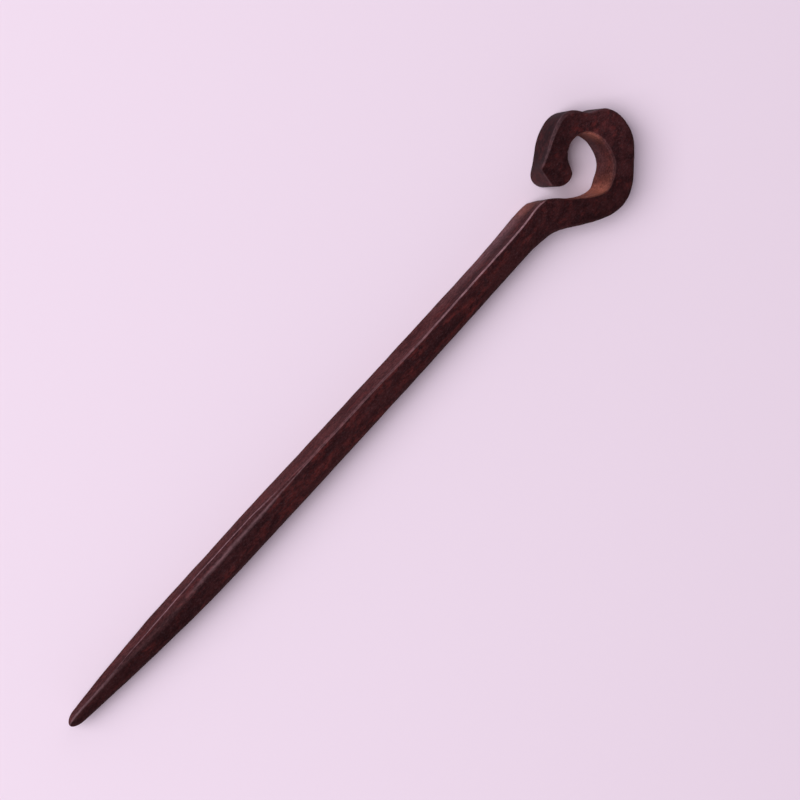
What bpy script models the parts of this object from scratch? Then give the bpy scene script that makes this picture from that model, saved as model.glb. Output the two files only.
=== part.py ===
"""Hair stick cut and carved from one board of dark hardwood.

A slender shaft runs from a blunt round point to a sharp shoulder. There the board
dips under an open loop, turns round it in three soft lobes with a notch at the
crown, and comes back as a hook whose thick end stops short of the neck.

The stick lies on its flat back: +X runs from the point to the head, +Y across the
head towards the hook, and +Z through the board towards its front face.
"""

import bpy
import numpy as np

# Driving dimensions in metres
LENGTH = 0.175  # from the point to the far side of the head
HEAD_LENGTH = 0.0265  # from the shoulder's corner to the far side of the head
HEAD_WIDTH = 0.0240  # across the head, from the belly to the hook's back
BOARD_THICKNESS = 0.007
SHAFT_WIDTH = 0.0058  # full width between the taper and the waist
BAND_WIDTH = 0.0054  # of the band that is left around the loop
WAIST_LENGTH = 0.030  # stretch over which the shaft eases into the neck
TAPER_LENGTH = 0.052  # stretch over which the shaft thins to its point
POINT_ROUNDING = 0.0026  # length of the dome at the point
HOOK_ROUNDING = 0.0029  # length of the round at the hook's end
EDGE_RADIUS = 0.0005  # sanded edges of the board
SHAFT_BOW = 0.0004  # sideways bow of the hand-planed shaft

# Proportions chosen by eye
POINT_SHARE = 0.48  # width where the dome starts, in shaft widths
ROUND_SHARE = 0.94  # edge radius at the point, in halves of its section
DOME_LAST_STEP = 0.97  # how far round the dome the small end facet lies
STATION_SPACING = 0.0008
SHAFT_SPACING = 0.0032
DOME_STEPS = 7
EDGE_STEPS = 3
SHARP_ANGLE = 0.8

# Colour of the oiled wood, linear RGB
WOOD_COLOR = (0.026, 0.0095, 0.0088, 1.0)
WOOD_ROUGHNESS = 0.34

# The band's line from the neck to the hook's end. along and across place it, counted
# from the shoulder's corner and from the shaft's middle line, as shares of the spine's
# length and width. outer and inner are the band's two reaches from the line, as
# shares of the band's width.
HEAD_COLUMNS = ("along", "across", "outer", "inner")
HEAD_ROWS = (
    (-0.380, 0.000, 0.51, 0.50),  # waist of the shaft
    (-0.230, -0.005, 0.56, 0.56),
    (-0.038, -0.028, 0.67, 0.64),  # shoulder's corner
    (0.110, -0.142, 0.63, 0.54),  # neck
    (0.250, -0.274, 0.57, 0.49),
    (0.390, -0.381, 0.53, 0.47),
    (0.555, -0.447, 0.51, 0.51),  # belly
    (0.715, -0.396, 0.48, 0.54),
    (0.850, -0.250, 0.45, 0.50),
    (0.940, -0.048, 0.63, 0.60),
    (0.965, 0.120, 0.66, 0.67),  # far side
    (0.916, 0.288, 0.59, 0.58),
    (0.830, 0.426, 0.34, 0.49),  # notch at the crown
    (0.720, 0.520, 0.54, 0.49),  # hook's shoulder
    (0.565, 0.538, 0.46, 0.46),
    (0.445, 0.470, 0.43, 0.42),
    (0.350, 0.370, 0.46, 0.48),
    (0.280, 0.274, 0.58, 0.64),  # swelling of the hook's end
    (0.200, 0.147, 0.60, 0.64),
)
CORNER_ROW = 2


def ease(share):
    """Smooth step from 0 to 1 as share goes from 0 to 1, level at both ends."""
    share = np.clip(share, 0.0, 1.0)
    return share * share * (3.0 - 2.0 * share)


def dome(distance, length):
    """Quarter ellipse: 0 at the end of a rounded stretch and 1 at length from it."""
    short = 1.0 - np.clip(distance / length, 0.0, 1.0)
    return np.sqrt(1.0 - short * short)


def curve_through(knots, values, places):
    """Smoothest cubic through the values at the knots, read at the places.

    Its bend (second derivative) runs straight from knot to knot and is nothing at both
    ends. The bends make the slopes agree at every knot between.
    """
    steps = np.diff(knots)
    rises = np.diff(values) / steps
    system = np.diag(2.0 * (steps[:-1] + steps[1:]))
    system += np.diag(steps[1:-1], 1) + np.diag(steps[1:-1], -1)
    bends = np.zeros_like(values)
    bends[1:-1] = np.linalg.solve(system, 6.0 * np.diff(rises))
    span = np.clip(np.searchsorted(knots, places, side="right") - 1, 0, len(steps) - 1)
    step = steps[span]
    after = (places - knots[span]) / step
    before = 1.0 - after
    straight = before * values[span] + after * values[span + 1]
    curved = (before**3 - before) * bends[span] + (after**3 - after) * bends[span + 1]
    return straight + curved * step * step / 6.0


def curve_with_corner(knots, values, places, corner):
    """Two such curves that meet at the corner's knot, each with its own slope there."""
    first = curve_through(knots[: corner + 1], values[: corner + 1], places)
    second = curve_through(knots[corner:], values[corner:], places)
    return np.where(places < knots[corner], first, second)


def head_stations():
    """Stations along the head: centre x, centre y, outer reach, inner reach."""
    rows = dict(zip(HEAD_COLUMNS, np.array(HEAD_ROWS).T))
    knot_x = LENGTH - HEAD_LENGTH + rows["along"] * (HEAD_LENGTH - BAND_WIDTH / 2)
    knot_y = rows["across"] * (HEAD_WIDTH - BAND_WIDTH)
    knots = np.concatenate(([0.0], np.cumsum(np.hypot(np.diff(knot_x), np.diff(knot_y)))))

    # Even steps between the rows, then the finer steps of the hook's round end
    counts = np.maximum(1, np.round(np.diff(knots) / STATION_SPACING)).astype(int)
    even = [np.linspace(a, b, n, endpoint=False) for a, b, n in zip(knots[:-1], knots[1:], counts)]
    places = np.concatenate(even)
    turn = np.linspace(0.0, np.pi / 2 * DOME_LAST_STEP, DOME_STEPS)
    rounding = knots[-1] - HOOK_ROUNDING + HOOK_ROUNDING * np.sin(turn)
    places = np.concatenate((places[places < rounding[0] - STATION_SPACING / 2], rounding))

    end = dome(knots[-1] - places, HOOK_ROUNDING)
    x = curve_through(knots, knot_x, places)
    y = curve_through(knots, knot_y, places)
    outer = curve_through(knots, rows["outer"] * BAND_WIDTH, places) * end
    inner = curve_with_corner(knots, rows["inner"] * BAND_WIDTH, places, CORNER_ROW) * end
    return x, y, outer, inner


def shaft_stations(neck_x, neck_outer, neck_inner):
    """Stations along the shaft, from the point up to the head's first station."""
    turn = np.linspace(np.pi / 2 * DOME_LAST_STEP, 0.0, DOME_STEPS)
    rounding = POINT_ROUNDING * (1.0 - np.sin(turn))
    count = int(round((neck_x - POINT_ROUNDING) / SHAFT_SPACING))
    x = np.concatenate((rounding, np.linspace(POINT_ROUNDING, neck_x, count, endpoint=False)[1:]))
    y = -SHAFT_BOW * np.sin(np.pi * x / neck_x)
    waist = ease((x - neck_x + WAIST_LENGTH) / WAIST_LENGTH)
    half = SHAFT_WIDTH / 2 * point_taper(x)
    outer = half + (neck_outer - SHAFT_WIDTH / 2) * waist
    inner = half + (neck_inner - SHAFT_WIDTH / 2) * waist
    return x, y, outer, inner


def point_taper(x):
    """Share of the full section at x: a quarter sine from the point's width, domed."""
    rise = np.sin(np.pi / 2 * np.clip(x / TAPER_LENGTH, 0.0, 1.0))
    return (POINT_SHARE + (1.0 - POINT_SHARE) * rise) * dome(x, POINT_ROUNDING)


def stick_sides():
    """Both sides of the stick at every station, square to the band's line.

    Gives the sides' plan points and their unit directions into the wood, the back
    and front heights and the radius of the sanded edges. Along the shaft a direction
    runs straight across. Round the head it stands square to the cut, and both cuts
    meet at the hook's end, so its wall is rounded over as well.
    """
    head = head_stations()
    shaft = shaft_stations(head[0][0], head[2][0], head[3][0])
    x, y, outer, inner = (np.concatenate(pair) for pair in zip(shaft, head))
    centre = np.column_stack((x, y))
    across = left_of(centre)
    outer_side = centre - across * outer[:, None]
    inner_side = centre + across * inner[:, None]

    cut = left_of(np.concatenate((outer_side, inner_side[::-1])))
    on_shaft = (np.arange(len(x)) < len(shaft[0]))[:, None]
    outer_inward = np.where(on_shaft, across, cut[: len(x)])
    inner_inward = np.where(on_shaft, -across, cut[len(x) :][::-1])

    thickness = BOARD_THICKNESS * point_taper(x)
    back = (BOARD_THICKNESS - thickness) / 2
    width = np.where(on_shaft[:, 0], outer + inner, BAND_WIDTH)
    largest = ROUND_SHARE * np.minimum(width, thickness) / 2
    radius = EDGE_RADIUS + (largest - EDGE_RADIUS) * (1.0 - ease(x / TAPER_LENGTH))
    radius = np.minimum(radius, largest)
    return (outer_side, outer_inward), (inner_side, inner_inward), back, back + thickness, radius


def left_of(path):
    """Unit directions square to a plan path, on its left."""
    heading = np.gradient(path, axis=0)
    heading /= np.linalg.norm(heading, axis=1)[:, None]
    return np.column_stack((-heading[:, 1], heading[:, 0]))


def stick_rings():
    """Points of every section as one array, (stations, points of a ring, 3).

    A ring goes up the outer side and down the inner side. Each side is a wall with a
    quarter round at its back and front edge: the angle a turns from the flat to the
    wall, inset = radius * (1 - sin a), depth under the flat = radius * (1 - cos a).
    """
    outer, inner, back, front, radius = stick_sides()
    turn = np.linspace(0.0, np.pi / 2, EDGE_STEPS + 1)
    inset = radius[:, None] * (1.0 - np.sin(turn))
    depth = radius[:, None] * (1.0 - np.cos(turn))
    rising_inset = np.concatenate((inset, inset[:, ::-1]), axis=1)
    rising = np.concatenate((back[:, None] + depth, front[:, None] - depth[:, ::-1]), axis=1)
    sides = []
    for side, inward in (outer, inner):
        plan = side[:, None, :] + inward[:, None, :] * rising_inset[:, :, None]
        sides.append(np.concatenate((plan, rising[:, :, None]), axis=2))
    return np.concatenate((sides[0], sides[1][:, ::-1]), axis=1)


def make_stick(collection, material):
    """Loft through the rings. Each end is closed by strips from side to side."""
    rings = stick_rings()
    stations, count = rings.shape[:2]
    index = np.arange(stations * count).reshape(stations, count)
    after = np.roll(index, -1, axis=1)
    skin = np.stack((index[:-1], index[1:], after[1:], after[:-1]), axis=2).reshape(-1, 4)
    near, far = index[0], index[-1]
    low = np.arange(count // 2 - 1)
    near_end = np.stack((near[low], near[low + 1], near[count - 2 - low], near[count - 1 - low]), axis=1)
    far_end = np.stack((far[low + 1], far[low], far[count - 1 - low], far[count - 2 - low]), axis=1)
    faces = np.concatenate((skin, near_end, far_end))

    mesh = bpy.data.meshes.new("hair_stick")
    mesh.from_pydata(rings.reshape(-1, 3).tolist(), [], faces.tolist())
    mesh.materials.append(material)
    mesh.shade_smooth()
    mesh.set_sharp_from_angle(angle=SHARP_ANGLE)

    stick = bpy.data.objects.new("hair_stick", mesh)
    collection.objects.link(stick)
    middle = (rings.min(axis=(0, 1)) + rings.max(axis=(0, 1))) / 2
    stick.location = (-middle[0], -middle[1], 0.0)
    return stick


def wood_material():
    """Oiled, polished dark hardwood."""
    material = bpy.data.materials.new("dark_hardwood")
    material.use_nodes = True
    shader = material.node_tree.nodes["Principled BSDF"]
    shader.inputs["Base Color"].default_value = WOOD_COLOR
    shader.inputs["Roughness"].default_value = WOOD_ROUGHNESS
    shader.inputs["Metallic"].default_value = 0.0
    return material


for old in list(bpy.data.objects):
    bpy.data.objects.remove(old, do_unlink=True)

stick_parts = bpy.data.collections.new("hair_stick_parts")
bpy.context.scene.collection.children.link(stick_parts)
make_stick(stick_parts, wood_material())
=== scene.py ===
import bmesh
import bpy
import numpy as np
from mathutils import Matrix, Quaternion, Vector


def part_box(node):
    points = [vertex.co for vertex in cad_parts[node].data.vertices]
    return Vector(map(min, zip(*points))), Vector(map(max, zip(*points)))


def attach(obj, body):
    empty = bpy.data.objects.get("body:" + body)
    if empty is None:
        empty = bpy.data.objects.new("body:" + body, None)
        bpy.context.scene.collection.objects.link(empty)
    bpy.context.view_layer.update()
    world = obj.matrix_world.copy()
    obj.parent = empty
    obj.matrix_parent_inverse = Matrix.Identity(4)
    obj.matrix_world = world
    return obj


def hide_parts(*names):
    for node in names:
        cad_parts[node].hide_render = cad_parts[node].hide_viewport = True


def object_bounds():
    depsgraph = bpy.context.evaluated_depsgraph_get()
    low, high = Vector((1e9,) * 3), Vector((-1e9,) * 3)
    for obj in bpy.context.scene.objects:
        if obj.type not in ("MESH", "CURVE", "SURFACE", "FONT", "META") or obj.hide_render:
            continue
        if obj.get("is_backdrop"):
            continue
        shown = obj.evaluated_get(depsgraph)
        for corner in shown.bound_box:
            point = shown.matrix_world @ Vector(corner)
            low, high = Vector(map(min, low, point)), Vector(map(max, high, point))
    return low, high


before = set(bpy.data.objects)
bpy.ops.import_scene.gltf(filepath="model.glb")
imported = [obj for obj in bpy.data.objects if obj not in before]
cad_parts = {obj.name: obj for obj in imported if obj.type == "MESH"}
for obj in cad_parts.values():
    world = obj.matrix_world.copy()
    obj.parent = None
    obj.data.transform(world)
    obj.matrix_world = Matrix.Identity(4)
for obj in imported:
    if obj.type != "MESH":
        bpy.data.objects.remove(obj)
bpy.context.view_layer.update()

# The carved stick: one board of dark hardwood, sawn to its outline and planed to its
# taper. The loop is filed smooth, the edges are eased with a knife, and the whole stick
# is sanded and oiled. It lies on its flat back.
MM = 0.001
low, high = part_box("hair_stick")
LENGTH = high.x - low.x
HEAD_WIDTH = high.y - low.y
THICKNESS = high.z - low.z
HEAD_LENGTH = 26.5 * MM
BAND_WIDTH = 5.4 * MM
SHAFT_WIDTH = 5.8 * MM
WAIST_LENGTH = 30 * MM
TAPER_LENGTH = 48 * MM
POINT_ROUNDING = 2.6 * MM
HOOK_ROUNDING = 2.9 * MM

# The shaft's middle line bows to one side. The edges are small facets, rounded over at
# their ridges. The front face is crowned, on the head by a share of the shaft's crown.
# POINT_SHARE is what the taper leaves of the section at the point.
SHAFT_BOW = 0.4 * MM
SHAFT_EDGE = 0.65 * MM
BACK_EDGE = 0.29 * MM
BACK_ROUND = 0.49
CROWN = 0.10 * MM
CROWN_ON_HEAD = 0.6
POINT_SHARE = 0.39

# The band's line round the head. along and across place it, from the shoulder's corner
# and the shaft's middle line, as shares of the line's length and width. outer and inner
# are its reaches on the front, as shares of the band's width. The leans are how far each
# wall stands out further at the back than at the front, in millimetres.
HEAD_COLUMNS = ("along", "across", "outer", "inner", "outer_lean", "inner_lean")
HEAD_ROWS = (
    (-0.380, 0.000, 0.51, 0.50, 0.00, 0.50),  # waist of the shaft
    (-0.230, -0.005, 0.56, 0.57, 0.00, 0.42),
    (-0.038, -0.028, 0.67, 0.695, 0.00, -0.20),  # shoulder's corner
    (0.110, -0.142, 0.63, 0.54, 0.00, 0.00),  # neck
    (0.250, -0.274, 0.57, 0.49, 0.00, 0.00),
    (0.390, -0.381, 0.53, 0.47, 0.00, 0.15),
    (0.555, -0.447, 0.51, 0.51, 0.00, 0.55),  # belly
    (0.715, -0.396, 0.48, 0.55, 0.00, 0.80),
    (0.850, -0.250, 0.45, 0.53, 0.00, 0.50),
    (0.940, -0.048, 0.65, 0.63, 0.00, 0.25),
    (0.965, 0.120, 0.68, 0.68, 0.00, 0.18),  # far side
    (0.916, 0.288, 0.63, 0.58, 0.00, 0.15),
    (0.830, 0.426, 0.34, 0.49, 0.00, 0.00),  # notch at the crown
    (0.720, 0.520, 0.54, 0.49, -0.25, 0.00),  # hook's shoulder
    (0.565, 0.538, 0.46, 0.46, 0.05, 0.00),
    (0.445, 0.470, 0.45, 0.42, 0.00, 0.00),
    (0.350, 0.370, 0.61, 0.48, -0.70, 0.00),
    (0.280, 0.274, 0.80, 0.64, -1.15, 0.00),  # swelling of the hook's end
    (0.200, 0.147, 0.64, 0.60, -0.15, 0.00),
)

# The shoulder's corner: its row, how much nearer to the point it lies at the back than at
# the front, and how far to both sides that is felt.
CORNER_ROW = 2
CORNER_SKEW = 0.8 * MM
CORNER_REACH = 3 * MM

# The hook's end is cut straight from a corner on its front outline: the corner's
# distance from the end, its reach from the line, how fast the cut comes in, and how far
# before the corner it is already looked for.
CUT_START = 3.65 * MM
CUT_REACH = 4.05 * MM
CUT_SLOPE = 0.72
CUT_LEAD = 1.0 * MM

# The front edges of the head, by the distance from the waist along its line. Each edge
# is a small facet of that size, and round is the share of it that is rounded over at
# each ridge, from 0.1 for a crisp knife cut to 0.49 for a sanded round.
EDGE_COLUMNS = ("from_waist", "outer_size", "outer_round", "inner_size", "inner_round")
EDGE_ROWS = (
    (0.0, 0.60, 0.49, 0.28, 0.12),
    (7.9, 0.50, 0.49, 0.26, 0.17),
    (8.4, 0.50, 0.49, 0.12, 0.40),  # shoulder's corner
    (16.0, 0.40, 0.49, 0.14, 0.49),
    (24.0, 0.40, 0.49, 0.35, 0.49),  # belly
    (33.0, 0.35, 0.49, 0.42, 0.49),
    (42.0, 0.35, 0.49, 0.38, 0.49),
    (47.0, 0.35, 0.45, 0.30, 0.49),  # crown
    (50.0, 0.70, 0.25, 0.25, 0.49),
    (52.0, 0.60, 0.15, 0.25, 0.49),
    (59.0, 0.38, 0.12, 0.22, 0.49),
    (60.8, 0.30, 0.15, 0.22, 0.49),
    (61.5, 0.08, 0.49, 0.22, 0.49),  # hook's corner
    (63.9, 0.10, 0.49, 0.20, 0.49),
    (64.9, 0.12, 0.49, 0.12, 0.49),  # both sides alike, where they meet
)

# How the wood looks, by the distance from the point along the line. face_tone is how
# light the front's heartwood is. The dry columns give the share of sawn wood painted paler,
# partly as the oil left it and partly as painted light where a wall faces the light; below
# nothing they give painted shade, which darkens the wall. The tan columns give bare end
# grain with painted light where the loop's inner wall catches light, and the rubbed ones
# wood rubbed pale with painted highlight on its ridges. outer is the outer wall, and front
# and back are the inner wall next to the front face and next to the back.
LOOK_COLUMNS = (
    "from_point", "face_tone", "outer_dry", "outer_tan", "outer_rubbed",
    "front_dry", "back_dry", "front_tan", "back_tan", "back_rubbed",
)
LOOK_ROWS = (
    (0, 0.74, 0.70, 0.00, 0.00, 0.85, 1.00, 0.00, 0.00, 0.00),
    (15, 0.70, 0.70, 0.00, 0.00, 0.95, 1.00, 0.00, 0.00, 0.00),
    (28, 0.84, 0.70, 0.00, 0.00, 0.88, 0.92, 0.00, 0.00, 0.00),
    (45, 0.96, 0.70, 0.00, 0.00, 0.88, 0.88, 0.00, 0.00, 0.00),
    (112, 0.96, 0.70, 0.00, 0.00, 0.90, 0.95, 0.00, 0.00, 0.00),
    (121, 0.94, 0.70, 0.00, 0.00, 0.45, 0.90, 0.00, 0.00, 0.10),
    (130, 0.94, 0.70, 0.00, 0.00, 0.20, 0.80, 0.00, 0.00, 0.24),
    (137, 0.96, 0.50, 0.00, 0.00, 0.10, 0.70, 0.00, 0.00, 0.34),
    (142, 0.98, 0.50, 0.00, 0.00, 0.04, 0.65, 0.00, 0.04, 0.32),
    (145, 1.00, 0.40, 0.00, 0.00, 0.05, 0.60, 0.02, 0.38, 0.16),
    (147, 0.98, 0.40, 0.00, 0.00, 0.12, 0.45, 0.10, 0.36, 0.05),  # shoulder's corner
    (149, 0.92, 0.30, 0.00, 0.00, 0.25, 0.25, 0.05, 0.10, 0.00),
    (158, 0.80, 0.20, 0.00, 0.00, 0.80, 0.80, 0.95, 0.95, 0.02),
    (162, 0.78, 0.20, 0.00, 0.00, 0.90, 0.90, 1.10, 1.05, 0.05),  # belly
    (166, 0.84, 0.20, 0.00, 0.00, 0.80, 0.80, 0.32, 0.24, 0.02),
    (170, 0.98, 0.20, 0.00, 0.00, 0.55, 0.65, 0.08, 0.05, 0.05),
    (177, 1.10, 0.20, 0.00, 0.00, 0.30, 0.35, 0.03, 0.01, 0.12),
    (181, 1.36, 0.10, 0.00, 0.00, 0.30, 0.35, 0.12, 0.02, 0.16),
    (186, 1.30, -0.20, 0.00, 0.00, 0.80, 0.60, 0.88, 0.46, 0.04),
    (189, 1.06, -0.80, 0.00, 0.00, 0.40, 0.40, 0.50, 0.30, 0.00),
    (196, 0.84, -0.72, 0.00, 0.04, 0.30, 0.30, 0.20, 0.10, 0.00),
    (200, 0.86, -0.80, 0.00, 0.03, 0.30, 0.30, 0.10, 0.10, 0.00),
    (202, 0.92, -0.45, 0.02, 0.07, 0.30, 0.30, 0.10, 0.10, 0.00),
    (205, 0.94, 0.00, 0.05, 0.10, 0.60, 0.60, 0.15, 0.15, 0.00),
)

# Between these shares of the way down the inner wall, its look goes over from front to
# back: at the shoulder the back part carries painted light and the front part stays darker,
# as painted shade. The tan goes over faster, by this power of the share.
BREAK_FROM = 0.24
BREAK_TO = 0.88
TAN_POWER = 0.4

# How the front edges are rubbed pale, partly wear from handling and partly painted
# highlight along the ridges, the stronger the crisper a ridge is. Each ridge has a bell at
# its place across the edge, and a narrow edge has one bell for both. A ridge's height starts
# from CRISP_SHARP and falls by CRISP_LOSS times its rounding, inside the two limits.
RIDGE_PLACES = (0.22, 0.78)
RIDGE_BELL = 0.12
EDGE_BELL = 0.24
NARROW_EDGE = 0.50 * MM
CRISP_SHARP = 1.45
CRISP_LOSS = 3.0
CRISP_LEAST = 0.08
CRISP_MOST = 1.3
INNER_FACE_RIDGE = 1.0
OUTER_FACE_RIDGE = 0.2
# Painted sheen: a pale rim laid evenly over the whole outer front edge.
OUTER_RIM_SHEEN = 0.14
OUTER_CRISP = 0.62

# The facet planed along the shaft's front edge on the hook's side, by the distance from
# the point: how far it drops down the wall, how far it reaches over the face, and the
# shares of it that are rounded over at the face and at the wall.
FACET_COLUMNS = ("from_point", "drop", "inset", "face_round", "wall_round")
FACET_ROWS = (
    (0, 0.30, 0.30, 0.35, 0.20),
    (6, 0.32, 0.30, 0.40, 0.16),
    (13, 0.45, 0.35, 0.60, 0.14),
    (20, 1.1, 0.45, 0.85, 0.15),
    (30, 1.8, 0.85, 0.50, 0.13),
    (40, 2.2, 0.6, 0.35, 0.12),
    (48, 2.2, 0.5, 0.35, 0.11),
    (56, 2.0, 0.5, 0.34, 0.12),
    (64, 0.8, 0.4, 0.33, 0.45),
    (72, 0.30, 0.30, 0.30, 0.30),
    (100, 0.28, 0.28, 0.30, 0.30),
    (120, 0.28, 0.28, 0.12, 0.12),
    (140, 0.28, 0.28, 0.12, 0.12),
)

# The shaft's wall on the hook's side, as the plane left it: how far it lies inside the
# plain taper at the front and at the back, in millimetres, by the distance from the point.
WALL_COLUMNS = ("from_point", "front", "back")
WALL_ROWS = (
    (0, 0.05, -0.04),
    (4, 0.05, -0.06),
    (10, 0.14, -0.10),
    (18, 0.12, -0.08),
    (27, 0.25, -0.02),
    (36, 0.20, 0.20),
    (43, 0.16, 0.24),
    (50, 0.06, 0.12),
    (57, 0.00, 0.00),
    (70, 0.03, 0.00),
    (80, 0.10, 0.00),
    (95, 0.14, 0.00),
    (102, 0.40, 0.00),
    (108, 0.52, 0.00),
    (117, 0.45, 0.08),
    (123, 0.26, 0.15),
    (131, 0.14, 0.25),
    (136, 0.05, 0.12),
    (140, 0.00, 0.00),
)

# How the tool wandered along each side: its largest swing, and the lengths of its waves
# in metres. On the shaft it grows from nothing over the first stretch from the point.
HEAD_WANDER = {
    "outer": (0.03 * MM, (0.0061, 0.0037, 0.0023)),
    "inner": (0.02 * MM, (0.0053, 0.0031, 0.0019)),
}
SHAFT_WANDER = {
    "outer": (0.03 * MM, (0.031, 0.017, 0.0083)),
    "inner": (0.04 * MM, (0.027, 0.013, 0.0071)),
}
WAVE_LAG = 1.7
FIRST_STRETCH = 8 * MM

# The grid: its steps along the stick, and where its points lie on a section, as shares of
# the way over a face or down a wall. The wall's slope breaks at WALL_BREAK.
STEP_ON_SHAFT = 0.5 * MM
STEP_ON_HEAD = 0.25 * MM
DOME_STEPS = 18
RIDGE_POINTS = 5
FACE_POINTS = 14
FACE_SHARES = np.linspace(0.0, 1.0, FACE_POINTS)[1:-1]
BACK_SHARES = FACE_SHARES[::3]
WALL_SHARES = np.array([0.10, 0.21, 0.27, 0.45, 0.65, 0.85])
WALL_BREAK = 0.24


def ease(share):
    """Smooth step, three times share squared less twice its cube: level at 0 and 1."""
    share = np.clip(share, 0.0, 1.0)
    return share * share * (3.0 - 2.0 * share)


def dome(distance, length):
    """Quarter ellipse: 0 at the end of a rounded stretch and 1 at length from it.

    It is the root of 1 less the square of the share of the length still to go.
    """
    short = 1.0 - np.clip(distance / length, 0.0, 1.0)
    return np.sqrt(1.0 - short * short)


def curve_through(knots, values, places):
    """Smoothest cubic through the values at the knots, read at the places.

    Its bend (second derivative) runs straight from knot to knot and is nothing at both
    ends. The bends make the slopes agree at every knot between.
    """
    steps = np.diff(knots)
    rises = np.diff(values) / steps
    system = np.diag(2.0 * (steps[:-1] + steps[1:]))
    system += np.diag(steps[1:-1], 1) + np.diag(steps[1:-1], -1)
    bends = np.zeros_like(values)
    bends[1:-1] = np.linalg.solve(system, 6.0 * np.diff(rises))
    span = np.clip(np.searchsorted(knots, places, side="right") - 1, 0, len(steps) - 1)
    step = steps[span]
    after = (places - knots[span]) / step
    before = 1.0 - after
    straight = before * values[span] + after * values[span + 1]
    curved = (before**3 - before) * bends[span] + (after**3 - after) * bends[span + 1]
    return straight + curved * step * step / 6.0


def hand_wander(places, size, waves):
    """How a hand-held tool wanders: size times the mean of one sine for each wave.

    Each sine starts a lag after the one before it.
    """
    swing = sum(
        np.sin(2.0 * np.pi * places / wave + WAVE_LAG * n) for n, wave in enumerate(waves)
    )
    return size / len(waves) * swing


def head_stations():
    """The band round the head, as columns with one value at each place along its line.

    Smooth curves through the rows give the line and the reaches to the walls. The inner
    one has a corner at the shoulder. Wander is added, the end is domed, and the outer
    reach stays inside the straight cut.
    """
    rows = dict(zip(HEAD_COLUMNS, np.array(HEAD_ROWS).T))
    knot_x = LENGTH - HEAD_LENGTH + rows["along"] * (HEAD_LENGTH - BAND_WIDTH / 2)
    knot_y = rows["across"] * (HEAD_WIDTH - BAND_WIDTH)
    knots = np.concatenate(([0.0], np.cumsum(np.hypot(np.diff(knot_x), np.diff(knot_y)))))
    even = np.arange(0.0, knots[-1] - HOOK_ROUNDING, STEP_ON_HEAD)
    turn = np.linspace(0.0, np.pi / 2, DOME_STEPS)
    places = np.concatenate((even, knots[-1] - HOOK_ROUNDING + HOOK_ROUNDING * np.sin(turn)))

    end = dome(knots[-1] - places, HOOK_ROUNDING)
    outer = curve_through(knots, rows["outer"] * BAND_WIDTH, places)
    outer_back = outer + curve_through(knots, rows["outer_lean"] * MM, places)
    corner = knots[CORNER_ROW]
    before = curve_through(knots[: CORNER_ROW + 1], rows["inner"][: CORNER_ROW + 1], places)
    after = curve_through(knots[CORNER_ROW:], rows["inner"][CORNER_ROW:], places)
    inner = np.where(places < corner, before, after) * BAND_WIDTH
    skew = CORNER_SKEW * np.exp(-(((places - corner) / CORNER_REACH) ** 2))
    inner_back = np.interp(places + skew, places, inner)
    inner_back += curve_through(knots, rows["inner_lean"] * MM, places)
    outer_wander = hand_wander(places, *HEAD_WANDER["outer"])
    inner_wander = hand_wander(places, *HEAD_WANDER["inner"])
    past_cut = places - (knots[-1] - CUT_START)
    cut_line = CUT_REACH - CUT_SLOPE * past_cut
    straight_cut = np.where(past_cut > -CUT_LEAD, cut_line, BAND_WIDTH)
    edges = dict(zip(EDGE_COLUMNS, np.array(EDGE_ROWS).T))
    columns = {
        "x": curve_through(knots, knot_x, places),
        "y": curve_through(knots, knot_y, places),
        "outer": np.minimum((outer + outer_wander) * end, straight_cut),
        "outer_back": (outer_back + outer_wander) * end,
        "inner": (inner + inner_wander) * end,
        "inner_back": (inner_back + inner_wander) * end,
        "thickness": np.full_like(places, THICKNESS),
    }
    columns["from_point"] = columns["x"][0] + places
    for side in ("outer", "inner"):
        size = np.interp(places, edges["from_waist"] * MM, edges[side + "_size"] * MM)
        rounded = np.interp(places, edges["from_waist"] * MM, edges[side + "_round"])
        columns[side + "_drop"] = size
        columns[side + "_inset"] = size
        columns[side + "_face_round"] = rounded
        columns[side + "_wall_round"] = rounded
    return columns


def point_taper(x):
    """Share of the full section at x: a quarter sine from the point's width, domed."""
    rise = np.sin(np.pi / 2 * np.clip(x / TAPER_LENGTH, 0.0, 1.0))
    return (POINT_SHARE + (1.0 - POINT_SHARE) * rise) * dome(x, POINT_ROUNDING)


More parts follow.
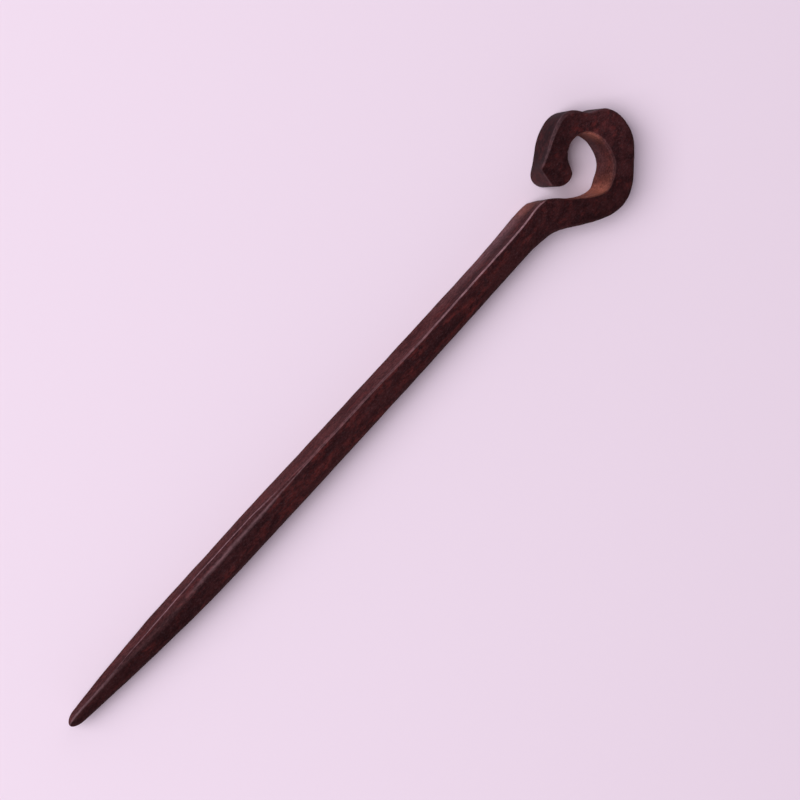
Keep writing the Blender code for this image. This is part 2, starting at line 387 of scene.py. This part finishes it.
def shaft_stations(head):
    """The shaft from its point to the head's first station, in the same columns.

    Half the width follows the taper and eases into the head's reaches over the waist.
    The tables' planed wall and facet are taken off the inner side.
    """
    neck = {name: column[0] for name, column in head.items()}
    turn = np.linspace(np.pi / 2, 0.0, DOME_STEPS)
    rounding = POINT_ROUNDING * (1.0 - np.sin(turn))
    x = np.concatenate((rounding[:-1], np.arange(POINT_ROUNDING, neck["x"], STEP_ON_SHAFT)))
    waist = ease((x - neck["x"] + WAIST_LENGTH) / WAIST_LENGTH)
    share = point_taper(x)
    half = SHAFT_WIDTH / 2 * share
    reach = {
        name: half + (neck[name] - SHAFT_WIDTH / 2) * waist
        for name in ("outer", "outer_back", "inner", "inner_back")
    }
    past_point = ease(x / FIRST_STRETCH)
    outer_wander = hand_wander(x, *SHAFT_WANDER["outer"]) * past_point
    inner_wander = hand_wander(x, *SHAFT_WANDER["inner"]) * past_point
    wall = dict(zip(WALL_COLUMNS, np.array(WALL_ROWS, float).T))
    in_front, in_back = (
        np.interp(x, wall["from_point"] * MM, wall[name] * MM) for name in WALL_COLUMNS[1:]
    )
    facet = dict(zip(FACET_COLUMNS, np.array(FACET_ROWS, float).T))
    planed = {
        name: np.interp(x, facet["from_point"] * MM, facet[name]) for name in FACET_COLUMNS[1:]
    }
    columns = {
        "x": x,
        "y": -SHAFT_BOW * np.sin(np.pi * x / neck["x"]),
        "outer": reach["outer"] + outer_wander,
        "outer_back": reach["outer_back"] + outer_wander,
        "inner": reach["inner"] + inner_wander - in_front * past_point,
        "inner_back": reach["inner_back"] + inner_wander - in_back * past_point,
        "thickness": THICKNESS * share,
        "outer_drop": SHAFT_EDGE + (neck["outer_drop"] - SHAFT_EDGE) * waist,
        "outer_inset": SHAFT_EDGE + (neck["outer_inset"] - SHAFT_EDGE) * waist,
        "outer_face_round": np.full_like(x, neck["outer_face_round"]),
        "outer_wall_round": np.full_like(x, neck["outer_wall_round"]),
        "inner_drop": planed["drop"] * MM,
        "inner_inset": planed["inset"] * MM,
        "inner_face_round": planed["face_round"],
        "inner_wall_round": planed["wall_round"],
        "from_point": x,
    }
    return columns


def left_of(path):
    """Unit directions on the left of a plan path: its heading turned by a quarter."""
    heading = np.gradient(path, axis=0)
    heading /= np.linalg.norm(heading, axis=1)[:, None]
    return np.column_stack((-heading[:, 1], heading[:, 0]))


def edge_points(drop, inset, face_share, wall_share):
    """An edge as a facet with both its ridges rounded over, from the face to the wall.

    Gives each point's inset from the wall and depth under the face. A ridge's round is
    the parabola between two points at the given share of the facet's length from the
    ridge, which is its control point: (1-t)^2 a + 2 t (1-t) ridge + t^2 b.
    """
    t = np.linspace(0.0, 1.0, RIDGE_POINTS)
    length = np.hypot(drop, inset)
    points = []
    for axis in (0, 1):
        face_ridge = inset if axis == 0 else np.zeros_like(inset)
        wall_ridge = np.zeros_like(drop) if axis == 0 else drop
        slope = wall_ridge - face_ridge
        on_face = face_ridge + (length * face_share if axis == 0 else 0.0)
        on_wall = wall_ridge + (length * wall_share if axis == 1 else 0.0)
        first = (on_face, face_ridge, face_ridge + slope * face_share)
        second = (wall_ridge - slope * wall_share, wall_ridge, on_wall)
        arcs = [
            (1 - t) ** 2 * a[:, None] + 2 * t * (1 - t) * ridge[:, None] + t**2 * b[:, None]
            for a, ridge, b in (first, second)
        ]
        points.append(np.concatenate(arcs, axis=1))
    return points


def between(start, end, shares):
    """Points on straight lines: start and the shares of the way from there to end."""
    return start[:, None] + (end - start)[:, None] * shares[None, :, None]


def wood_marks(stick, counts):
    """How the wood looks at every point of the grid, as shares from 0 to 1.

    The dry, painted shade, tan and rubbed marks follow the table along the line. dry is
    paler sawn wood and painted light, painted shade is what dry has below nothing, and
    tan is end grain and painted light. They fade in over the edges, and ease from front
    to back down the inner wall. rubbed adds a bell of wear and painted highlight on each
    ridge of the front edges, the higher the crisper the ridge is, and the bells grow
    into one over a narrow edge. tone is the front face's and its edges'.
    """
    places = stick["from_point"] / MM
    table = dict(zip(LOOK_COLUMNS, np.array(LOOK_ROWS, float).T))
    look = {
        name: np.interp(places, table["from_point"], table[name])[:, None]
        for name in LOOK_COLUMNS[1:]
    }
    look["front_rubbed"] = np.zeros_like(look["back_rubbed"])
    over_edge = np.linspace(0.0, 1.0, 2 * RIDGE_POINTS)
    down_wall = ease((WALL_SHARES - BREAK_FROM) / (BREAK_TO - BREAK_FROM))
    face_bell, wall_bell = (
        np.exp(-(((over_edge - at) / RIDGE_BELL) ** 2)) for at in RIDGE_PLACES
    )
    edge_bell = np.exp(-(((over_edge - 0.5) / EDGE_BELL) ** 2))

    def edge_wear_and_highlight(side, face_ridge):
        """Wear and painted highlight on an edge: each ridge's crispness times its bell, or the
        whole edge's where it is narrow.
        """
        face_crisp, wall_crisp = (
            np.clip(CRISP_SHARP - CRISP_LOSS * stick[side + ridge], CRISP_LEAST, CRISP_MOST)
            for ridge in ("_face_round", "_wall_round")
        )
        narrow = np.exp(-((stick[side + "_drop"] / NARROW_EDGE) ** 2)) * wall_crisp
        on_wall = wall_crisp[:, None]
        ridges = face_ridge * face_crisp[:, None] * face_bell + on_wall * wall_bell
        return ridges + (on_wall * edge_bell - ridges) * narrow[:, None]

    marks = {}
    for name in ("dry", "tan", "rubbed"):
        outer, front, back = (look[wall + name] for wall in ("outer_", "front_", "back_"))
        down = down_wall**TAN_POWER if name == "tan" else down_wall
        strips = {part: np.zeros((len(places), count)) for part, count in counts.items()}
        strips["back_outer"] += outer * over_edge
        strips["outer_wall"] += outer
        strips["front_outer"] += outer * over_edge[::-1]
        strips["front_inner"] += front * over_edge
        strips["inner_wall"] += front + (back - front) * down
        strips["back_inner"] += back * over_edge[::-1]
        marks[name] = strips
    # Painted sheen along the whole outer front edge, and wear with painted highlight on the
    # ridges of both front edges.
    outer_edge = OUTER_RIM_SHEEN + OUTER_CRISP * edge_wear_and_highlight("outer", OUTER_FACE_RIDGE)
    marks["rubbed"]["front_outer"] += outer_edge[:, ::-1] * over_edge[::-1]
    marks["rubbed"]["front_inner"] += edge_wear_and_highlight("inner", INNER_FACE_RIDGE)
    marks["tone"] = {part: np.ones((len(places), count)) for part, count in counts.items()}
    for part in ("front_outer", "front_face", "front_inner"):
        marks["tone"][part] *= look["face_tone"]
    for name, strips in marks.items():
        marks[name] = np.concatenate(list(strips.values()), axis=1)
    # Below nothing, the dry share turns into painted shade, which darkens the wood.
    marks["painted_shade"] = np.clip(-marks["dry"], 0.0, 1.0)
    marks["dry"] = np.clip(marks["dry"], 0.0, 1.0)
    return marks


def carve_stick():
    """Every section of the stick as one grid, (stations, points round a section, 3).

    A section goes up the outer wall, over the front face, down the inner wall and back
    under the stick. Its edges come from edge_points, its front face is crowned by a
    parabola, and its inner wall breaks outwards towards the back where it leans.
    """
    head = head_stations()
    shaft = shaft_stations(head)
    stick = {name: np.concatenate((shaft[name], head[name])) for name in head}
    x = stick["x"]
    centre = np.column_stack((x, stick["y"]))
    across = left_of(centre)
    outer_side = centre - across * stick["outer"][:, None]
    inner_side = centre + across * stick["inner"][:, None]
    outer_back = centre - across * stick["outer_back"][:, None]
    inner_back = centre + across * stick["inner_back"][:, None]
    cut = left_of(np.concatenate((outer_side, inner_side[-2::-1])))
    on_shaft = np.arange(len(x)) < len(shaft["x"])
    outer_inward = np.where(on_shaft[:, None], across, cut[: len(x)])
    inner_inward = np.where(on_shaft[:, None], -across, cut[len(x) - 1 :][::-1])

    section = dome(x, POINT_ROUNDING)
    back = (THICKNESS - stick["thickness"]) / 2
    crown = CROWN * section * np.where(on_shaft, 1.0, CROWN_ON_HEAD)
    front = back + stick["thickness"] - crown

    def lay(side, inward, edge, height, up):
        """An edge's points in place: its insets inwards from the side, its depths up or down."""
        plan = side[:, None, :] + inward[:, None, :] * edge[0][:, :, None]
        return np.concatenate((plan, (height[:, None] + up * edge[1])[:, :, None]), axis=2)

    def front_edge(name):
        """A side's front edge, its size times the section's, so that it closes at the point."""
        drop = stick[name + "_drop"] * section
        inset = stick[name + "_inset"] * section
        return edge_points(drop, inset, stick[name + "_face_round"], stick[name + "_wall_round"])

    back_size = BACK_EDGE * section
    back_round = np.full_like(x, BACK_ROUND)
    back_edge = edge_points(back_size, back_size, back_round, back_round)
    back_outer = lay(outer_back, outer_inward, back_edge, back, 1)
    front_outer = lay(outer_side, outer_inward, front_edge("outer"), front, -1)[:, ::-1]
    front_inner = lay(inner_side, inner_inward, front_edge("inner"), front, -1)
    back_inner = lay(inner_back, inner_inward, back_edge, back, 1)[:, ::-1]

    outer_wall = between(back_outer[:, -1], front_outer[:, 0], 1.0 - WALL_SHARES[::-1])
    inner_wall = between(front_inner[:, -1], back_inner[:, 0], WALL_SHARES)
    broken = np.clip((WALL_SHARES - WALL_BREAK) / (1.0 - WALL_BREAK), 0.0, 1.0)
    lean = np.clip(stick["inner_back"] - stick["inner"], 0.0, None) * on_shaft
    held_in = lean[:, None] * (WALL_SHARES - broken)
    inner_wall[:, :, :2] += inner_inward[:, None, :] * held_in[:, :, None]

    front_face = between(front_outer[:, -1], front_inner[:, 0], FACE_SHARES)
    front_face[:, :, 2] += crown[:, None] * (1.0 - (2.0 * FACE_SHARES - 1.0) ** 2)
    back_face = between(back_inner[:, -1], back_outer[:, 0], BACK_SHARES)
    parts = {
        "back_outer": back_outer,
        "outer_wall": outer_wall,
        "front_outer": front_outer,
        "front_face": front_face,
        "front_inner": front_inner,
        "inner_wall": inner_wall,
        "back_inner": back_inner,
        "back_face": back_face,
    }
    marks = wood_marks(stick, {name: part.shape[1] for name, part in parts.items()})
    return np.concatenate(list(parts.values()), axis=1), marks


# The grid is centred on the plain part's box and closed into a mesh. The points of its
# two poles, and those of an edge that has shrunk to nothing, are merged.
MERGE_WITHIN = 1e-7
SHORTEST_EDGE = 1e-8
grid, marks = carve_stick()
middle = (grid.min(axis=(0, 1)) + grid.max(axis=(0, 1))) / 2
grid[:, :, 0] += (low.x + high.x) / 2 - middle[0]
grid[:, :, 1] += (low.y + high.y) / 2 - middle[1]

stations, around = grid.shape[:2]
index = np.arange(stations * around).reshape(stations, around)
after = np.roll(index, -1, axis=1)
faces = np.stack((index[:-1], index[1:], after[1:], after[:-1]), axis=2).reshape(-1, 4)

stick_mesh = bpy.data.meshes.new("carved_stick")
stick_mesh.from_pydata(grid.reshape(-1, 3).tolist(), [], faces.tolist())
for name, mark in marks.items():
    stick_mesh.attributes.new(name, "FLOAT", "POINT").data.foreach_set("value", mark.ravel())
shape = bmesh.new()
shape.from_mesh(stick_mesh)
bmesh.ops.remove_doubles(shape, verts=shape.verts, dist=MERGE_WITHIN)
bmesh.ops.dissolve_degenerate(shape, dist=SHORTEST_EDGE, edges=shape.edges)
shape.to_mesh(stick_mesh)
shape.free()
stick_mesh.shade_smooth()

carved_stick = bpy.data.objects.new("carved_stick", stick_mesh)
bpy.context.scene.collection.objects.link(carved_stick)


class Number:
    """A value that changes over the surface. Its operators add Math nodes."""

    def __init__(self, recipe, socket):
        self.recipe = recipe
        self.socket = socket

    def math(self, operation, *values):
        """The operation on the values, in the order of the Math node's sockets."""
        settings = {"operation": operation}
        node = self.recipe.node("ShaderNodeMath", settings, dict(enumerate(values)))
        return Number(self.recipe, node.outputs[0])

    def __add__(self, other):
        return self.math("ADD", self, other)

    __radd__ = __add__

    def __sub__(self, other):
        return self.math("SUBTRACT", self, other)

    def __rsub__(self, other):
        return self.math("SUBTRACT", other, self)

    def __mul__(self, other):
        return self.math("MULTIPLY", self, other)

    __rmul__ = __mul__

    def between(self, start, end):
        """0 at start and below, 1 at end and above, eased between."""
        settings = {"interpolation_type": "SMOOTHSTEP", "clamp": True}
        values = {"Value": self, "From Min": start, "From Max": end}
        node = self.recipe.node("ShaderNodeMapRange", settings, values)
        return Number(self.recipe, node.outputs[0])


class Recipe:
    """The nodes of one finish. One method adds any node, with its settings first."""

    def __init__(self, tree):
        self.tree = tree

    def node(self, kind, settings=None, values=None):
        """A node of a kind, with its settings set and then its sockets fed."""
        node = self.tree.nodes.new(kind)
        for name, value in (settings or {}).items():
            setattr(node, name, value)
        for name, value in (values or {}).items():
            self.feed(node.inputs[name], value)
        return node

    def feed(self, target, value):
        """Links a socket to the target, or sets the target to a plain value."""
        if isinstance(value, Number):
            value = value.socket
        if isinstance(value, bpy.types.NodeSocket):
            self.tree.links.new(value, target)
        else:
            target.default_value = value

    def noise(self, place, along, across, detail, roughness, shift):
        """Noise from 0 to 1, with so many lumps a millimetre along the grain and across."""
        per_metre = (along / MM, across / MM, across / MM)
        values = {"Vector": place, "Location": shift, "Scale": per_metre}
        mapped = self.node("ShaderNodeMapping", None, values).outputs[0]
        values = {"Vector": mapped, "Scale": 1.0, "Detail": detail, "Roughness": roughness}
        return Number(self, self.node("ShaderNodeTexNoise", None, values).outputs[0])

    def mix(self, share, first, second, blend="MIX"):
        """first where share is 0 and second where it is 1, as colours."""
        settings = {"data_type": "RGBA", "blend_type": blend}
        node = self.node("ShaderNodeMix", settings, {0: share, 6: first, 7: second})
        return node.outputs[2]


# The oiled wood's colours: the heartwood's two browns and its red, sawn wood that also
# carries painted light, pale flecks of dust and painted sheen, ridges rubbed by handling
# and painted highlight, and bare end grain that also carries painted light.
DEEP_BROWN = (0.0165, 0.0046, 0.0056, 1.0)
WARM_BROWN = (0.0340, 0.0092, 0.0104, 1.0)
RED_STREAK = (0.0850, 0.0150, 0.0145, 1.0)
SAWN_AND_LIT_DARK = (0.0300, 0.0065, 0.0072, 1.0)
SAWN_AND_LIT_PALE = (0.0690, 0.0205, 0.0212, 1.0)
GREY_DUST_AND_SHEEN = (0.0700, 0.0450, 0.0520, 1.0)
RIDGE_WEAR_AND_HIGHLIGHT = (0.2800, 0.1560, 0.1780, 1.0)
END_GRAIN_AND_LIGHT = (0.2900, 0.0900, 0.0620, 1.0)

# The grain's patterns: lumps a millimetre along the grain and across it, the noise's
# detail and roughness, and its shift.
PATTERNS = {
    "figure": (0.060, 0.40, 3.0, 0.50, (32.0, 39.0, 12.0)),  # long bands on the shaft
    "clouds": (0.34, 0.40, 3.0, 0.50, (22.0, 32.0, 15.0)),  # rounder ones on the head
    "mottle": (0.70, 1.20, 4.0, 0.60, (4.0, 1.0, 2.0)),
    "streaks": (0.16, 0.80, 3.0, 0.55, (20.0, 31.0, 4.0)),  # red, on the shaft
    "blotches": (0.42, 0.50, 4.0, 0.60, (22.0, 19.0, 30.0)),  # red, on the head
    "speckle": (1.6, 2.6, 3.0, 0.70, (7.0, 2.0, 4.0)),
    "fibres": (0.8, 9.0, 3.0, 0.60, (2.0, 3.0, 5.0)),
    "flecks": (2.6, 4.2, 2.0, 0.60, (5.0, 8.0, 1.0)),
    "tides": (0.10, 0.35, 2.0, 0.50, (2.0, 6.0, 4.0)),  # slow changes along sawn wood
    "pores": (0.9, 6.0, 1.0, 0.50, (6.0, 2.0, 8.0)),
}

# Where a pattern starts to tell and where it tells in full, how strongly each finish
# shows, and how far along the stick the shaft's figure goes over into the head's.
HEAD_FIGURE = (46 * MM, 66 * MM)
BROWN_RANGE = (0.38, 0.62)
SAWN_RANGE = (0.40, 0.60)
RED_RANGE = (0.46, 0.74)
RED_BREAKS = (0.30, 0.62)
FLECK_RANGE = (0.45, 0.75)
PORE_RANGE = (0.66, 0.74)
RED_SHARE = 0.8
RED_LESS_ON_HEAD = 0.12
FLECK_SHARE = 0.25
PORE_SHADE = 0.45
# How much the painted shade darkens the wood.
PAINTED_SHADE_DEPTH = 0.52
OIL_IOR = 1.5
OIL_GLOSS = 0.02
OILED_ROUGHNESS = 0.40
RELIEF_STRENGTH = 0.25
RELIEF_DEPTH = 0.03 * MM

wood_material = bpy.data.materials.new("oiled_hardwood")
wood_material.use_nodes = True
wood = Recipe(wood_material.node_tree)
surface = wood.tree.nodes["Principled BSDF"]
surface.inputs["IOR"].default_value = OIL_IOR
surface.inputs["Specular IOR Level"].default_value = OIL_GLOSS
place = wood.node("ShaderNodeTexCoord").outputs["Object"]
along = Number(wood, wood.node("ShaderNodeSeparateXYZ", None, {0: place}).outputs[0])
on_head = along.between(*HEAD_FIGURE)
dry, painted_shade, tan, rubbed, tone = (
    Number(wood, wood.node("ShaderNodeAttribute", {"attribute_name": name}).outputs["Fac"])
    for name in ("dry", "painted_shade", "tan", "rubbed", "tone")
)
figure, clouds, mottle, streaks, blotches, speckle, fibres, flecks, tides, pores = (
    wood.noise(place, *pattern) for pattern in PATTERNS.values()
)

# Each layer covers the ones before it by its share. The weights in the sums say how much
# each pattern tells.
broad = figure + (clouds - figure) * on_head
browns = (broad * 0.6 + mottle * 0.4).between(*BROWN_RANGE)
color = wood.mix(browns, DEEP_BROWN, WARM_BROWN)
sawn_tone = (tides * 0.4 + mottle * 0.3 + speckle * 0.3).between(*SAWN_RANGE)
sawn_and_lit = wood.mix(sawn_tone, SAWN_AND_LIT_DARK, SAWN_AND_LIT_PALE)
# Paler sawn wood, partly as the oil left it and partly painted light where a wall faces the
# light.
color = wood.mix(dry * (speckle * 1.2 + 0.4), color, sawn_and_lit)
red = (streaks + (blotches - streaks) * on_head).between(*RED_RANGE)
red = red * mottle.between(*RED_BREAKS) * (RED_SHARE - RED_LESS_ON_HEAD * on_head)
color = wood.mix(red, color, RED_STREAK)
# Bare end grain with painted light: pale tan where the loop's inner wall catches light.
color = wood.mix(tan * (blotches * 0.8 + speckle * 1.2), color, END_GRAIN_AND_LIGHT)
# Ridges rubbed pale by handling, with painted highlight along them.
color = wood.mix(rubbed * (mottle * 1.2 + tides * 0.6 - 0.18), color, RIDGE_WEAR_AND_HIGHLIGHT)
# Grey flecks: dust in the pores, and painted sheen.
color = wood.mix(flecks.between(*FLECK_RANGE) * FLECK_SHARE, color, GREY_DUST_AND_SHEEN)

# Fibres, open pores and painted shade darken the whole by multiplying it.
open_pores = pores.between(*PORE_RANGE)
shade = fibres * 0.8 + speckle * 1.3 - 0.05
shade = shade * (1.0 - PORE_SHADE * open_pores) * (1.0 - PAINTED_SHADE_DEPTH * painted_shade) * tone
shades = {"Red": shade, "Green": shade, "Blue": shade}
shade_color = wood.node("ShaderNodeCombineColor", None, shades).outputs[0]
wood.feed(surface.inputs["Base Color"], wood.mix(1.0, color, shade_color, "MULTIPLY"))

roughness = OILED_ROUGHNESS + 0.14 * mottle + 0.15 * open_pores + 0.12 * dry
wood.feed(surface.inputs["Roughness"], roughness)
relief = fibres * 0.4 + mottle * 0.6 - open_pores * 0.6
bumps = {"Strength": RELIEF_STRENGTH, "Distance": RELIEF_DEPTH, "Height": relief}
wood.feed(surface.inputs["Normal"], wood.node("ShaderNodeBump", None, bumps).outputs[0])

stick_mesh.materials.append(wood_material)
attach(carved_stick, "root")
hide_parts("hair_stick")

# The table under the stick: a wide flat sheet of matt, pale lilac paper. It isn't part of
# the object, and the stick just lies on it.
FLOOR_SIZE = 6.0
PAPER_COLOR = (0.80, 0.668, 0.79, 1.0)
PAPER_ROUGHNESS = 0.9
paper = bpy.data.materials.new("pale_paper")
paper.use_nodes = True
paper_surface = paper.node_tree.nodes["Principled BSDF"]
paper_surface.inputs["Base Color"].default_value = PAPER_COLOR
paper_surface.inputs["Roughness"].default_value = PAPER_ROUGHNESS
corners = np.array(((-1, -1), (1, -1), (1, 1), (-1, 1))) * FLOOR_SIZE / 2
floor_mesh = bpy.data.meshes.new("floor")
floor_mesh.from_pydata([(x, y, 0.0) for x, y in corners], [], [(0, 1, 2, 3)])
floor_mesh.materials.append(paper)
floor = bpy.data.objects.new("floor", floor_mesh)
bpy.context.scene.collection.objects.link(floor)
floor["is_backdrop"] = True

# The light: one wide soft window on the hook's side, and a pale room all round, which is
# dark only where the ceiling is mirrored in the stick's flat face. The range is in cosines
# of the angle from the ceiling's middle.
WINDOW_DIRECTION = Vector((-0.55, 0.50, 0.67))
WINDOW_DISTANCE = 2.0
WINDOW_SIZE = 1.5
WINDOW_POWER = 50.0
ROOM_COLOR = (0.97, 0.90, 0.97, 1.0)
CEILING_COLOR = (0.06, 0.05, 0.055, 1.0)
CEILING_DIRECTION = (0.289, -0.354, 0.884)
CEILING_RANGE = (0.45, 0.92)
ROOM_STRENGTH = 0.63

window_light = bpy.data.lights.new("window", "AREA")
window_light.size = WINDOW_SIZE
window_light.energy = WINDOW_POWER
window = bpy.data.objects.new("window", window_light)
window.location = WINDOW_DIRECTION.normalized() * WINDOW_DISTANCE
window.rotation_mode = "QUATERNION"
window.rotation_quaternion = WINDOW_DIRECTION.to_track_quat("Z", "Y")
bpy.context.scene.collection.objects.link(window)

room = bpy.data.worlds.new("room")
room.use_nodes = True
air = Recipe(room.node_tree)
outwards = air.node("ShaderNodeTexCoord").outputs["Generated"]
two_ways = {0: outwards, 1: CEILING_DIRECTION}
facing = air.node("ShaderNodeVectorMath", {"operation": "DOT_PRODUCT"}, two_ways)
ceiling = Number(air, facing.outputs["Value"]).between(*CEILING_RANGE)
room_color = air.mix(ceiling, ROOM_COLOR, CEILING_COLOR)
air.feed(air.tree.nodes["Background"].inputs["Color"], room_color)
air.tree.nodes["Background"].inputs["Strength"].default_value = ROOM_STRENGTH
bpy.context.scene.world = room

# The camera looks down at the stick from the point's side, with the stick from the
# lower left of the picture to its upper right.
CAMERA_TARGET = Vector((8.54, -5.70, 3.5)) * MM
CAMERA_DISTANCE = 543.5 * MM
CAMERA_AZIMUTH = np.radians(129.37)
CAMERA_ELEVATION = np.radians(63.50)
CAMERA_ROLL = np.radians(96.31)
LENS = 117.0
SENSOR_WIDTH = 36.0
NEAREST_SEEN = 10 * MM

towards_camera = Vector((
    np.cos(CAMERA_AZIMUTH) * np.cos(CAMERA_ELEVATION),
    np.sin(CAMERA_AZIMUTH) * np.cos(CAMERA_ELEVATION),
    np.sin(CAMERA_ELEVATION),
))
camera = bpy.data.objects.new("camera", bpy.data.cameras.new("camera"))
camera.data.lens = LENS
camera.data.sensor_width = SENSOR_WIDTH
camera.data.clip_start = NEAREST_SEEN
camera.location = CAMERA_TARGET + towards_camera * CAMERA_DISTANCE
camera.rotation_mode = "QUATERNION"
roll = Quaternion((0.0, 0.0, 1.0), CAMERA_ROLL)
camera.rotation_quaternion = towards_camera.to_track_quat("Z", "Y") @ roll
bpy.context.scene.collection.objects.link(camera)
bpy.context.scene.camera = camera
bpy.context.scene.view_settings.view_transform = "Standard"

low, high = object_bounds()
